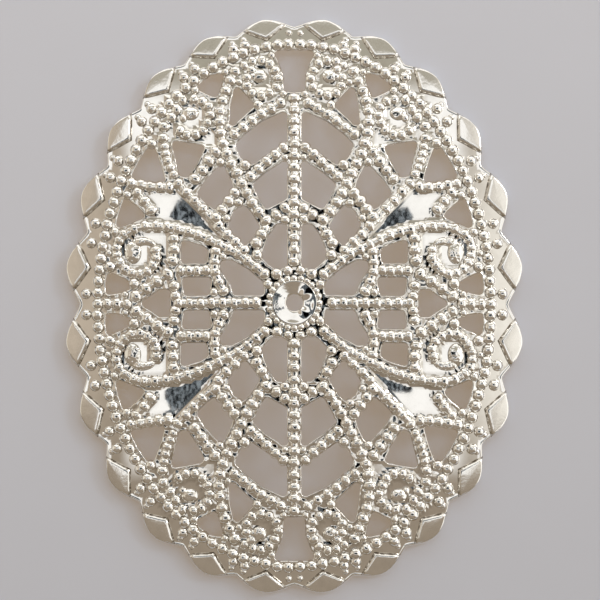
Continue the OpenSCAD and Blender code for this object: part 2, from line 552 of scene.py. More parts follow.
# The gaps in one quarter, each by its corners. One that starts on an axis is whole over that axis.
GAPS: dict[str, Line] = {
    "keystone": ((0, 20), (1.25, 20), (1.6, 19.75), (1.2, 19), (0.85, 18), (0.8, 16.65), (0, 16.65)),
    "outer shoulder": ((5.5, 18.2), (6.7, 17.95), (7.8, 17), (6.1, 16.15), (5.75, 17.2)),
    "inner shoulder": ((3.05, 15.55), (4.4, 17), (4.7, 16.9), (5, 15.6), (5.05, 14), (4.75, 14)),
    "kite": ((0.58, 14.95), (0.95, 14.95), (2.5, 14.25), (4, 13.1), (4.6, 12.4), (4.2, 11.4), (3.35, 10.8),
             (2, 11.75), (0.58, 12.65)),
    "second kite": ((0.58, 11.05), (0.85, 11.05), (2.3, 10.1), (3.25, 9.25), (2.7, 8.1), (2.2, 7.3), (0.58, 8.15)),
    "diamond": ((5.5, 10.75), (5.85, 10.75), (7, 9.55), (7.6, 8.55), (6.9, 7.85), (6.2, 7.3), (5.5, 8),
                (4.75, 8.8), (4.9, 9.5)),
    "triangle": ((6.95, 12.35), (9.65, 12.8), (8.95, 10), (8.35, 9.85), (7.6, 11)),
    "rim triangle": ((10.95, 12.25), (11.5, 12.25), (12.2, 11.2), (12.85, 9.9), (11.5, 9.65), (10.05, 9.45),
                     (10.4, 10.7)),
    "leaf tip": ((13.1, 8.25), (13.35, 8.2), (13.75, 7.1), (14, 5.85), (11.55, 6.8), (12.2, 7.5)),
    "heart": ((4, 7.65), (4.7, 7.15), (5.15, 6.1), (4.55, 5.1), (3.8, 4.45), (3.1, 5.3), (2.7, 5.95), (3.4, 7.1)),
    "cradle": ((0.58, 6.1), (1.35, 6.1), (2, 5.2), (2.6, 3.6), (1.9, 2.9), (1.3, 2.5), (0.58, 2.95)),
    "wing": ((2.35, 1.5), (2.35, 0.6), (4.7, 0.6), (5, 1.5), (5.75, 2.6), (5.7, 3.25), (4.9, 3.3), (3.6, 2.6)),
    "upper window": ((6.7, 4.1), (7.2, 4.45), (8.8, 4.95), (8.8, 3.12), (6.85, 3.12)),
    "lower window": ((6.45, 1.98), (8.75, 1.98), (8.55, 0.6), (6.65, 0.6)),
    "side point": ((9.7, 0), (9.65, 1.05), (10.5, 1.05), (11.2, 0.55), (12.1, 0)),
    "rim point": ((12.5, 1.3), (13.2, 1.9), (14.6, 2.5), (14.75, 1.6), (14.7, 0.7), (13.5, 0.9)),
}

# The panels that stay plain between the beads, and the ground inside the scrolls.
PLAIN: dict[str, Line] = {
    "leaf panel": ((4.9, 4.4), (5.0, 5.0), (9.2, 9.4), (10.1, 9.1), (11.8, 9.1), (11.2, 8.0), (10.9, 7.2),
                   (12.4, 6.4), (11.0, 6.2), (9.0, 5.9), (7.6, 5.5), (6.2, 4.9)),
    "side scroll": ((9.6, 5.9), (9.8, 2.6), (11.2, 2.0), (12.8, 1.9), (14.0, 3.0), (14.3, 4.3), (13.6, 5.6),
                    (11.6, 6.1)),
    "end scroll": ((1.4, 16.3), (3.6, 16.3), (3.9, 18.4), (3.0, 19.2), (1.4, 18.8)),
    "shoulder scroll": ((6.0, 12.3), (10.4, 12.6), (10.1, 15.2), (9.0, 16.2), (6.9, 16.2), (6.3, 14.8)),
}

# Half the width and half the length of the oval on which the border's beads stand.
BORDER = (15.38, 20.48)


@dataclass
class PiercedSheet:
    """The domed sheet, cut through in 60 gaps, with rolled lips round the gaps and the rim.

    The face is a grid over the oval, trimmed where the distance to the nearest edge is `band`. Grid points within
    `snap` steps of that line are moved onto it. From there a profile runs out to the edge, down the wall and back
    under, so the sheet is closed.

    Under each row of beads the sheet is pressed up into a low ridge, `ridge` high and `ridge_reach` to each side,
    which leaves a groove `groove` times as deep in the back. Painted shade darkens the crevice beside the beads,
    where they would shade the ground. The ground is uneven within `rough_reach` of a row and all over the lattice,
    and smooth in the plain panels and outside the border. Its hole in the middle is a little wider than the cup's,
    which stands over it.
    """

    dome: Dome
    rim: Rim
    finish: SilverPlate
    step: float = 0.25
    snap: float = 0.32
    band: float = 0.22
    corner: float = 0.26
    lip: float = 0.025
    hole: float = 0.8
    ridge: float = 0.04
    ridge_reach: float = 0.5
    groove: float = 3.0
    upper_side: float = 0.4
    # Painted shade in a band beside the rows, where the beads would shade the ground: its strength, place and width.
    crevice_shade: float = 0.4
    crevice_reach: float = 0.5
    crevice_width: float = 0.13
    rough_reach: float = 0.52
    rough_fade: float = 0.08
    plain_fade: float = 0.1
    border_fade: float = 0.01

    @staticmethod
    def distance(points: Array, outline: Array) -> Array:
        """Distance from each point to the nearest side of a closed outline, negative inside it.

        The nearest place on a side is the point's share of the way along it, kept between its ends. A point is
        inside where a line to its right crosses an odd number of sides.

        Args:
            points: x and y of each point.
            outline: the outline's corners.

        Returns:
            The signed distances.
        """
        side = np.roll(outline, -1, axis=0) - outline
        reach = points[:, None] - outline[None]
        share = np.clip((reach * side).sum(-1) / (side * side).sum(-1), 0, 1)
        nearest = np.sqrt(((reach - share[..., None] * side) ** 2).sum(-1).min(1))
        above = outline[:, 1] > points[:, 1:]
        next_above = np.roll(outline[:, 1], -1) > points[:, 1:]
        rise = np.where(side[:, 1] == 0, 1, side[:, 1])
        crossing = reach[..., 0] < side[:, 0] * reach[..., 1] / rise
        inside = ((above != next_above) & crossing).sum(1) % 2 == 1
        return np.where(inside, -nearest, nearest)

    def shrunk(self, name: str) -> Array:
        """A gap's outline, whole over its axis, moved in by the corner radius.

        Each corner moves along the sum of its two sides' inward directions, divided by one plus their cosine.

        Args:
            name: the gap.

        Returns:
            The moved corners.
        """
        p = np.array(GAPS[name], float)
        for axis in (0, 1):
            if p[0, axis] == 0:
                flip = np.where(np.arange(2) == axis, -1, 1)
                p = np.vstack([p, (p * flip)[::-1][np.abs(p[::-1, axis]) > 0]])
        turn = np.sign(np.sum(p[:, 0] * np.roll(p[:, 1], -1) - np.roll(p[:, 0], -1) * p[:, 1]))
        return p + mitres(p) * turn * self.corner

    def metal(self, points: Array) -> Array:
        """Distance into the metal from the nearest edge, negative in a gap or outside the rim.

        Args:
            points: x and y of each point.

        Returns:
            The distances.
        """
        q = np.abs(points)
        depth = -self.distance(q, self.rim.outline(24))
        depth = np.minimum(depth, np.hypot(q[:, 0], q[:, 1]) - self.hole)
        for name in GAPS:
            depth = np.minimum(depth, self.distance(q, self.shrunk(name)) - self.corner)
        return depth

    def slope(self, points: Array) -> Array:
        """Direction into the metal at each point, from differences over a hundredth of a millimetre.

        Args:
            points: x and y of each point.

        Returns:
            Unit vectors.
        """
        steps = np.eye(2) * 0.005
        out = np.stack([self.metal(points + step) - self.metal(points - step) for step in steps], -1)
        return out / np.maximum(np.linalg.norm(out, axis=1, keepdims=True), 1e-9)

    def settled(self, points: Array) -> Array:
        """Moves points near the trimming line onto it, each three times by its distance from the line.

        Args:
            points: x and y of each point.

        Returns:
            The moved points.
        """
        for _ in range(3):
            points = points - self.slope(points) * (self.metal(points) - self.band)[:, None]
        return points

    def face(self) -> tuple[Array, list[Array]]:
        """The plan of the sheet inside the bands: points and faces.

        Grid points near the trimming line are moved onto it, and each triangle is cut where its sides cross it.
        A cut triangle's corners and crossings go into six slots in turn, and what is left of it fills three or four.

        Returns:
            x and y of each point, and arrays of three and of four corners.
        """
        nx, ny = math.ceil(self.rim.half_x / self.step) + 1, math.ceil(self.rim.half_y / self.step) + 1
        gx, gy = np.meshgrid(np.arange(-nx, nx + 1) * self.step, np.arange(-ny, ny + 1) * self.step, indexing="ij")
        points = np.stack([gx.ravel(), gy.ravel()], -1)
        value = self.metal(points) - self.band
        near = np.abs(value) < self.snap * self.step
        points[near], value[near] = self.settled(points[near]), 0
        number = np.arange(len(points)).reshape(gx.shape)
        a, b, c, d = (n.ravel() for n in (number[:-1, :-1], number[1:, :-1], number[1:, 1:], number[:-1, 1:]))
        leaning = (gx[:-1, :-1].ravel() + self.step / 2) * (gy[:-1, :-1].ravel() + self.step / 2) > 0
        first = np.where(leaning[:, None], np.stack([a, b, c], -1), np.stack([a, b, d], -1))
        second = np.where(leaning[:, None], np.stack([a, c, d], -1), np.stack([b, c, d], -1))
        tri = np.vstack([first, second])
        sign = np.sign(value).astype(int)
        all_on = np.all(sign[tri] == 0, axis=1)
        middle = np.zeros(len(tri))
        middle[all_on] = self.metal(points[tri[all_on]].mean(1)) - self.band
        tri = tri[(sign[tri].max(1) > 0) | (all_on & (middle > 0))]
        ahead = np.roll(tri, -1, axis=1)
        crossed = sign[tri] * sign[ahead] < 0
        low, high = np.minimum(tri, ahead)[crossed], np.maximum(tri, ahead)[crossed]
        pairs, where = np.unique(low * len(points) + high, return_inverse=True)
        low, high = pairs // len(points), pairs % len(points)
        share = (value[low] / (value[low] - value[high]))[:, None]
        cut = points[low] * (1 - share) + points[high] * share
        cut = self.settled(cut)
        slots = np.full((len(tri), 6), -1)
        slots[:, 0::2] = np.where(sign[tri] >= 0, tri, -1)
        crossings = np.full(tri.shape, -1)
        crossings[crossed] = where.ravel() + len(points)
        slots[:, 1::2] = crossings
        slots = np.take_along_axis(slots, np.argsort(slots < 0, axis=1, kind="stable"), 1)
        corners = (slots >= 0).sum(1)
        points = np.vstack([points, cut])
        kept = [slots[corners == 3, :3], slots[corners == 4, :4]]
        used, packed = np.unique(np.concatenate([k.ravel() for k in kept]), return_inverse=True)
        packed = packed.ravel()
        split = kept[0].size
        return points[used], [packed[:split].reshape(-1, 3), packed[split:].reshape(-1, 4)]

    def profile(self) -> tuple[Array, Array]:
        """The edge's profile, from the trimming line on top round to the one below.

        The lip swells to its full height half way across the band, falls over the edge, runs down the wall and is
        eased below.

        Returns:
            Distance into the metal and height over the inner face, at each row between the two trimming lines.
        """
        t = self.dome.sheet
        across = np.array([0.7, 0.5, 0.3, 0.12, 0.0, 0.0, 0.25]) * self.band
        swell = np.array([0.6, 1.0, 0.5, -0.9, -4.0]) * self.lip
        return across, np.concatenate([t + swell, [0.08, 0.0]])

    def near_rows(self, points: Array) -> Array:
        """Distance from each point to the nearest row of beads.

        Args:
            points: x and y of each point.

        Returns:
            The distances.
        """
        q = np.abs(points)
        nearest = np.full(len(q), np.inf)
        for row in ROWS:
            for line in mirrored(smooth_line(row.line, 6)) if row.count > 1 else []:
                if line.max(axis=0).min() >= 0:
                    nearest = np.minimum(nearest, np.linalg.norm(q[:, None] - line[None], axis=-1).min(1))
        return nearest

    def uneven(self, points: Array, near: Array) -> Array:
        """How uneven the ground is: fully between the lattice's beads, not at all in plain panels and on the rim.

        Args:
            points: x and y of each point.
            near: distance from each point to the nearest row.

        Returns:
            Shares from 0 to 1.
        """
        q = np.abs(points)
        rough = np.clip((1 - np.hypot(q[:, 0] / BORDER[0], q[:, 1] / BORDER[1])) / self.border_fade, 0, 1)
        for plain in PLAIN.values():
            rough = np.minimum(rough, np.clip(1 + self.distance(q, np.array(plain, float)) / self.plain_fade, 0, 1))
        return np.maximum(rough, np.clip((self.rough_reach - near) / self.rough_fade, 0, 1))

    def build(self) -> list[bpy.types.Object]:
        """Builds the sheet and dresses it.

        The ridge's height is the square of one less the square of the distance's share of its reach. The painted
        crevice shade is a bell curve of the distance, and only points on the upper side have it and the uneven
        ground.

        Returns:
            The piece, alone in a list.
        """
        plan, faces = self.face()
        count = len(plan)
        edges = np.vstack([np.stack([f, np.roll(f, -1, axis=1)], -1).reshape(-1, 2) for f in faces])
        single = ~np.isin(edges[:, 0] * count + edges[:, 1], edges[:, 1] * count + edges[:, 0])
        rim_edges = edges[single]
        on_rim = np.unique(rim_edges)
        rank = np.full(count, -1)
        rank[on_rim] = np.arange(len(on_rim))
        inward = self.slope(plan[on_rim])
        across, height = self.profile()
        flat = [plan, plan, *(plan[on_rim] - inward * (self.band - d) for d in across)]
        above = [self.dome.sheet, 0.0, *height]
        raised = [1.0, self.groove, 1.0, 1.0, 0.8, 0.5, 0.0, 0.0, 0.6 * self.groove]
        points, crevice_shades, stipples = [], [], []
        for p, h, share in zip(flat, above, raised):
            near, upper = self.near_rows(p), h > self.upper_side
            hump = np.clip(1 - (near / self.ridge_reach) ** 2, 0, 1) ** 2 * self.ridge
            points.append(np.column_stack([p, self.dome.height(p[:, 0], p[:, 1], h + share * hump)]))
            # Painted shade: a bell-shaped band of darker silver beside each row.
            bell = np.exp(-(((near - self.crevice_reach) / self.crevice_width) ** 2))
            crevice_shades.append(self.crevice_shade * bell * upper)
            stipples.append(self.uneven(p, near) * upper)
        n, m = len(on_rim), len(across)
        lines = np.vstack([on_rim, *(2 * count + k * n + np.arange(n) for k in range(m)), on_rim + count])
        a, b = rank[rim_edges[:, 0]], rank[rim_edges[:, 1]]
        walls = np.vstack(
            [np.stack([lines[k][b], lines[k][a], lines[k + 1][a], lines[k + 1][b]], -1) for k in range(m + 1)]
        )
        under = [f[:, ::-1] + count for f in faces]
        skin = Skin("pierced_sheet")
        skin.add(np.vstack(points), [*faces, *under, walls], np.concatenate(crevice_shades), np.concatenate(stipples))
        return [skin.build(self.finish.build())]


@dataclass(frozen=True)
class Row:
    """A row of beads along a line: its name, each bead's diameter, how many, and the line in one quarter."""

    name: str
    diameter: float
    count: int
    line: Line


# The rows of beads in one quarter. Those on an axis run along all of it or across the middle.
ROWS: tuple[Row, ...] = (
    Row("spine", 0.84, 15, ((0, 16.1), (0, 3.2))),
    Row("cross bar", 0.8, 8, ((2.95, 0), (9.0, 0))),
    Row("rim bar", 0.8, 3, ((13.05, 0), (14.6, 0))),
    Row("rib", 0.84, 16, ((4.65, 18.3), (5.35, 16.85), (5.8, 15.2), (5.8, 13.55), (5.3, 11.8), (4.5, 10.2),
        (3.75, 8.65), (2.8, 7.15), (2.2, 6.45))),
    Row("top arch", 0.8, 6, ((1.05, 15.75), (2.65, 14.8), (3.95, 13.8), (4.7, 13.25))),
    Row("end scroll", 0.72, 13, ((3.9, 18.75), (3.1, 19.15), (2.25, 19.1), (1.65, 18.55), (1.3, 17.85), (1.4, 17.0),
        (2.1, 16.45), (3.0, 16.4), (3.6, 16.9), (3.75, 17.75), (3.35, 18.4))),
    Row("end scroll's seed", 0.6, 2, ((3.2, 17.85), (3.3, 18.35))),
    Row("shoulder scroll", 0.72, 9, ((7.9, 16.1), (7.05, 15.8), (6.6, 15.1), (6.75, 14.25), (7.3, 13.45),
        (8.2, 13.2), (9.0, 13.6))),
    Row("shoulder scroll's seed", 0.6, 1, ((8.7, 14.6), (8.75, 14.6))),
    Row("shoulder's outer pair", 0.8, 2, ((8.75, 16.05), (9.65, 15.95))),
    Row("shoulder's inner pair", 0.8, 2, ((9.25, 15.3), (10.2, 15.3))),
    Row("shoulder's last", 0.8, 3, ((9.65, 14.65), (10.3, 13.8), (10.3, 13.0))),
    Row("side scroll", 0.74, 12, ((13.29, 5.45), (13.83, 4.73), (13.85, 3.77), (13.4, 2.93), (12.7, 2.4),
        (11.9, 2.35), (11.2, 2.75), (10.75, 3.45), (10.8, 4.15))),
    Row("middle arch", 0.8, 5, ((0.85, 12.2), (2.1, 11.1), (3.4, 9.9))),
    Row("low arch", 0.78, 2, ((0.72, 7.42), (1.4, 6.88))),
    Row("first cross", 0.85, 4, ((6.15, 11.85), (7.75, 9.7))),
    Row("second cross", 0.85, 4, ((4.65, 8.6), (6.1, 6.7))),
    Row("third cross", 0.85, 3, ((2.1, 6.05), (2.95, 4.65))),
    Row("leaf's upper edge", 0.78, 9, ((9.05, 9.35), (7.85, 8.1), (6.6, 6.8), (5.4, 5.5), (4.75, 4.95), (3.9, 4.1))),
    Row("leaf's outer edge", 0.7, 5, ((10.15, 12.3), (9.9, 11.2), (9.4, 10.1))),
    Row("leaf's lower edge", 0.78, 15, ((13.25, 5.4), (12.45, 5.9), (11.6, 6.05), (10.6, 6.05), (9.5, 5.9),
        (8.5, 5.65), (7.5, 5.33), (6.5, 4.87), (5.5, 4.38), (4.5, 3.9), (3.4, 3.1), (2.3, 2.2))),
    Row("leaf's cap", 0.8, 5, ((9.8, 9.1), (11.3, 9.2), (12.75, 9.45))),
    Row("leaf's end", 0.8, 3, ((12.3, 8.7), (11.75, 8.05), (11.2, 7.3))),
    Row("side post", 0.88, 3, ((9.4, 5.05), (9.4, 4.15), (9.5, 3.3))),
    Row("post's foot", 0.8, 2, ((9.35, 1.35), (9.25, 0.55))),
    Row("scroll's foot", 0.88, 4, ((9.85, 2.3), (12.35, 0.6))),
    Row("rung", 0.76, 4, ((6.85, 2.55), (8.85, 2.55))),
    Row("inner post", 0.78, 5, ((6.1, 4), (6.2, 3.2), (6.15, 2.45), (5.9, 1.65), (5.5, 0.9))),
)


@dataclass(frozen=True)
class Mound:
    """A low round dome's shape: its sides, its rings' angles from the top in degrees, and its depth in the sheet.

    Painted shade, with some tarnish, darkens its foot, by `foot_shade`, and its rings past the `steep` angle, by
    `side_shade`.
    """

    sides: int
    angles: tuple[float, ...]
    sunk: float = 0.06
    steep: float = 70.0
    side_shade: float = 0.3
    foot_shade: float = 0.9

    def add(self, skin: Skin, dome: Dome, table: Array) -> None:
        """Adds a mound for each row of a table.

        At an angle from its top, a mound's reach is the sine's share of half its length and width, and its height is
        the cosine's share of its full height. The last ring is sunk in the sheet, and a face closes it.

        Args:
            skin: where the surfaces go.
            dome: the sheet they stand on.
            table: x, y, length, width, height and the direction of the length for each mound.
        """
        x, y, length, width, tall, course = table.T
        angle = np.radians(self.angles)
        reach = np.append(np.sin(angle), 1.0) * 0.5
        turn = bearings(self.sides)
        up = dome.normal(x, y)
        ahead = np.stack([np.cos(course), np.sin(course), np.zeros_like(course)], -1)
        ahead = unit(ahead - (ahead * up).sum(1, keepdims=True) * up)
        aside = np.cross(up, ahead)
        circle = (
            (ahead * length[:, None])[:, None] * np.cos(turn)[None, :, None]
            + (aside * width[:, None])[:, None] * np.sin(turn)[None, :, None]
        )
        above = np.append(np.cos(angle)[None] * tall[:, None], np.full((len(x), 1), -self.sunk), axis=1)
        rings = dome.place(x, y, 0.0)[:, None, None] + circle[:, None] * reach[None, :, None, None]
        rings = rings + up[:, None, None] * above[:, :, None, None]
        # Painted shade on the steep rings and at the foot, where the sheet and neighbours would shade the mound.
        crevice_shade = np.where(np.array(self.angles) > self.steep, self.side_shade, 0.0)
        skin.add_shells(dome.place(x, y, tall), rings, np.append(crevice_shade, self.foot_shade))


@dataclass
class BeadWork:
    """Every row of beads: the lattice's, the border's, the cup's ring and the pairs in the rim's valleys.

    A bead is a row of numbers: x, y, its length along its row, its width across it, and the row's direction there.
    """

    dome: Dome
    rim: Rim
    sheet: PiercedSheet
    finish: SilverPlate
    height: float = 0.43
    length: float = 1.08
    width: float = 1.26
    mound: Mound = Mound(12, (16, 36, 58, 78))
    unevenness: float = 0.05
    wander: float = 0.015
    seed: int = 11
    border_count: int = 126
    border_diameter: float = 1.0
    pair_inset: float = 1.76
    pair_diameter: float = 0.92
    pair_reach: float = 0.45
    side_reach: float = 0.37
    seed_inset: float = 1.3
    seed_diameter: float = 0.55
    seed_from: float = 0.45
    ring_radius: float = 1.94
    ring_count: int = 24
    ring_diameter: float = 0.58
    crowding: float = 0.62
    fill_step: float = 0.12
    fill_clear: float = 0.19
    fill_edge: float = 0.27
    fill_margin: float = 0.4
    fill_border: float = 0.55
    fill_widest: float = 0.95
    fill_overlap: float = 0.2

    @staticmethod
    def beads(points: Array, length: Array | float, width: Array | float, turn: Array | float) -> Array:
        """Puts beads' places, sizes and directions side by side."""
        return np.stack(np.broadcast_arrays(points[:, 0], points[:, 1], length, width, turn), -1)

    def border(self) -> Array:
        """The border's beads, equally spaced round an ellipse that is drawn in steps of half a degree.

        Returns:
            The beads, each turned along the line between its neighbours.
        """
        angle = np.linspace(0, 2 * np.pi, 721)
        ring = np.stack([BORDER[0] * np.cos(angle), BORDER[1] * np.sin(angle)], -1)
        spots = spaced(ring, self.border_count + 1)[:-1]
        ahead = np.roll(spots, -1, axis=0) - np.roll(spots, 1, axis=0)
        return self.beads(spots, self.border_diameter, self.border_diameter, np.arctan2(ahead[:, 1], ahead[:, 0]))

    def pairs(self, inset: float, diameter: float, least: float) -> Array:
        """The two beads in each valley of the rim, further apart at the sides than at the ends.

        Args:
            inset: distance inside the scallops' tips.
            diameter: the beads' diameter.
            least: the valleys' least sine, which keeps the beads away from the sides.

        Returns:
            The beads.
        """
        angle = bearings(self.rim.scallops)
        angle = angle[np.abs(np.sin(angle)) >= least]
        middle = self.rim.at(angle, inset)
        reach = (self.pair_reach + self.side_reach * np.cos(angle) ** 2)[:, None] * self.rim.along(angle, inset)
        return self.beads(np.vstack([middle + reach, middle - reach]), diameter, diameter, 0.0)

    def ring(self) -> Array:
        """The beads in the ring round the cup, each turned along the ring.

        Returns:
            The beads.
        """
        angle = bearings(self.ring_count)
        spots = self.ring_radius * np.stack([np.cos(angle), np.sin(angle)], -1)
        return self.beads(spots, self.ring_diameter, self.ring_diameter, angle + np.pi / 2)

    def rows(self) -> list[Array]:
        """The lattice's beads, longer across their row than along it.

        Returns:
            The beads of each row in each quarter.
        """
        found = []
        for row in ROWS:
            points = spaced(smooth_line(row.line), row.count) if row.count > 1 else np.array(row.line[:1], float)
            for part in mirrored(points):
                turn: Array | float = 0.0
                if len(part) > 1:
                    ahead = np.gradient(part, axis=0)
                    turn = np.arctan2(ahead[:, 1], ahead[:, 0])
                found.append(self.beads(part, row.diameter * self.length, row.diameter * self.width, turn))
        return found

    def places(self) -> Array:
        """All the beads, without those that crowd an earlier one, and then those that fill the junctions.

        Returns:
            The beads.
        """
        beads = [
            self.ring(),
            self.border(),
            self.pairs(self.pair_inset, self.pair_diameter, 0.0),
            self.pairs(self.seed_inset, self.seed_diameter, self.seed_from),
            *self.rows(),
        ]
        kept = self.thinned(np.vstack(beads))
        return self.thinned(np.vstack([kept, self.filling(kept)]))

    def thinned(self, beads: Array) -> Array:
        """Leaves out each bead that crowds an earlier one, which is nearer than a share of their mean length.

        Args:
            beads: the beads, in order.

        Returns:
            Those that stay.
        """
        apart = np.linalg.norm(beads[:, None, :2] - beads[None, :, :2], axis=-1)
        close = apart < self.crowding * (beads[:, None, 2] + beads[None, :, 2]) / 2
        return beads[~np.any(np.tril(close, -1), axis=1)]

    def filling(self, beads: Array) -> Array:
        """Finds beads for the junctions, where rows meet and leave ground bare.

        From a fine grid over the metal of one quarter, clear of the border, the cup's ring, the axes and the plain
        panels, the place with the most room is taken again and again, until the room left is under `fill_clear`.

        Args:
            beads: the beads there are.

        Returns:
            The added beads, in all quarters.
        """
        gx, gy = (np.arange(0, reach, self.fill_step) for reach in BORDER)
        grid = np.stack(np.meshgrid(gx, gy, indexing="ij"), -1).reshape(-1, 2)
        ring = np.hypot(grid[:, 0] / (BORDER[0] - self.fill_border), grid[:, 1] / (BORDER[1] - self.fill_border))
        grid = grid[(ring < 1) & (np.hypot(*grid.T) > self.ring_radius + self.fill_margin)]
        grid = grid[np.all((grid == 0) | (grid > self.fill_margin), axis=1)]
        grid = grid[self.sheet.metal(grid) > self.fill_edge]
        for plain in PLAIN.values():
            grid = grid[PiercedSheet.distance(grid, np.array(plain, float)) > 0]
        room = (np.linalg.norm(grid[:, None] - beads[None, :, :2], axis=-1) - beads[:, 3] / 2).min(1)
        added: list[Array] = []
        while room.max() > self.fill_clear:
            best = room.argmax()
            wide = min(self.fill_widest, 2 * room[best] + self.fill_overlap)
            added.extend(self.beads(part, wide, wide, 0.0) for part in mirrored(grid[best : best + 1]))
            room = np.minimum(room, np.linalg.norm(grid - grid[best], axis=1) - wide / 2)
        return np.vstack(added)

    def build(self) -> list[bpy.types.Object]:
        """Builds the beads and dresses them.

        Each bead's height is its length times `height`, and both sizes and places are a little uneven.

        Returns:
            The piece, alone in a list.
        """
        beads = self.places()
        chance = np.random.default_rng(self.seed)
        beads[:, 2:4] *= 1 + self.unevenness * chance.uniform(-1, 1, (len(beads), 2))
        beads[:, :2] += chance.normal(0, self.wander, (len(beads), 2))
        skin = Skin("beads")
        self.mound.add(skin, self.dome, np.insert(beads, 4, beads[:, 2] * self.height, axis=1))
        log.info("%d beads placed", len(beads))
        return [skin.build(self.finish.build())]


@dataclass(frozen=True)
class Wire:
    """A raised line: its name, its width at both ends, its height, and the line in one quarter."""

    name: str
    start: float
    end: float
    height: float
    line: Line


# The arms inside the scrolls of one quarter.
HOOKS: tuple[Wire, ...] = (
    Wire("side scroll's arm", 0.5, 0.9, 0.26, ((10.85, 4.5), (11.25, 4.78), (11.8, 4.88), (12.3, 4.75),
        (12.62, 4.45))),
    Wire("end scroll's arm", 0.4, 0.7, 0.24, ((3.62, 17.9), (3.4, 18.15), (3.1, 18.2), (2.85, 18.05))),
)

# The bosses inside the scrolls of one quarter: x, y, length, width, height and direction.
BOSSES: tuple[tuple[float, ...], ...] = (
    (12.6, 4.0, 1.36, 1.86, 0.34, 0.0),
    (2.75, 17.9, 1.2, 1.15, 0.32, 0.0),
    (8.15, 14.95, 1.4, 1.12, 0.32, 0.0),
)


@dataclass
class WireWork:
    """Smooth raised lines and bosses: the ridge that joins the beads of a row, and what is inside the scrolls.

    In the `merged` rows the ridge is wider and higher, because their beads run together.
    """

    dome: Dome
    finish: SilverPlate
    scroll_finish: SilverPlate
    seat_width: float = 0.62
    seat_height: float = 0.22
    merged_width: float = 0.72
    merged_height: float = 0.28
    merged: tuple[str, ...] = ("leaf's lower edge", "leaf's cap", "cross bar", "side scroll", "inner post", "rung")
    spacing: float = 0.3
    sunk: float = 0.06
    sides: int = 8
    arm_steps: int = 28
    # How much painted shade darkens the foot of each ridge and arm.
    crevice_shade: float = 0.4
    boss: Mound = Mound(28, (8, 16, 26, 37, 49, 61, 73, 83))

    def sweep(self, skin: Skin, line: Array, width: Array, height: Array) -> None:
        """Adds a half-round profile carried along a line on the dome.

        At an angle round the profile, the offset across is the cosine's share of the half width and the height is
        the sine's share of the full height. Two more points close it under the sheet's face.

        Args:
            skin: where the surface goes.
            line: x and y of each point of the line.
            width: width at each point.
            height: height at each point.
        """
        ahead = unit(np.gradient(line, axis=0))
        left = np.stack([-ahead[:, 1], ahead[:, 0]], -1)
        angle = np.linspace(0, np.pi, self.sides)
        across = np.concatenate([-np.cos(angle), [1.0, -1.0]]) / 2
        up = np.concatenate([np.sin(angle), [0.0, 0.0]])
        plan = line[:, None] + left[:, None] * (across[None, :, None] * width[:, None, None])
        above = up[None] * height[:, None]
        above[:, -2:] = -self.sunk
        points = self.dome.place(plan[..., 0], plan[..., 1], above)
        rows, columns = above.shape
        ends = np.stack([np.arange(columns), (rows - 1) * columns + np.arange(columns)[::-1]])
        # Painted shade along the low edges, where the ridge meets the sheet.
        low = np.append(np.sin(angle) < 0.1, [True, True])
        crevice_shade = np.tile(low * self.crevice_shade, rows)
        skin.add(points.reshape(-1, 3), [band_faces(rows, columns)[:, ::-1], ends], crevice_shade)

    def seats(self, skin: Skin) -> None:
        """Adds the ridge under each row of three beads or more, but not in the small scrolls towards the ends.

        Args:
            skin: where the surfaces go.
        """
        for row in ROWS:
            if row.count < 3 or "shoulder" in row.name or "end scroll" in row.name:
                continue
            curve = smooth_line(row.line)
            length = np.hypot(*np.diff(curve, axis=0).T).sum()
            joined = row.name in self.merged
            width, height = (self.merged_width, self.merged_height) if joined else (self.seat_width, self.seat_height)
            for part in mirrored(spaced(curve, max(3, round(length / self.spacing) + 1))):
                self.sweep(skin, part, np.full(len(part), width), np.full(len(part), height))

    def hooks(self, skin: Skin) -> None:
        """Adds the arms and bosses inside the scrolls.

        An arm widens evenly from its start to its end. Both its width and its height are rounded off at the ends,
        by the root of one less the fifth power of the distance from its middle.

        Args:
            skin: where the surfaces go.
        """
        for wire in HOOKS:
            share = np.linspace(0, 1, self.arm_steps)
            round_off = np.sqrt(np.clip(1 - np.abs(2 * share - 1) ** 5, 0.02, 1))
            wide = (wire.start + (wire.end - wire.start) * share) * round_off
            for part in mirrored(spaced(smooth_line(wire.line), self.arm_steps)):
                self.sweep(skin, part, wide, wire.height * round_off)
        table = np.array(BOSSES)
        for plan in mirrored(table[:, :2]):
            self.boss.add(skin, self.dome, np.column_stack([plan, table[:, 2:]]))

    def build(self) -> list[bpy.types.Object]:
        """Builds both kinds and dresses them.

        Returns:
            The two objects.
        """
        seats, hooks = Skin("bead_seats"), Skin("scroll_hooks")
        self.seats(seats)
        self.hooks(hooks)
        return [seats.build(self.finish.build()), hooks.build(self.scroll_finish.build())]


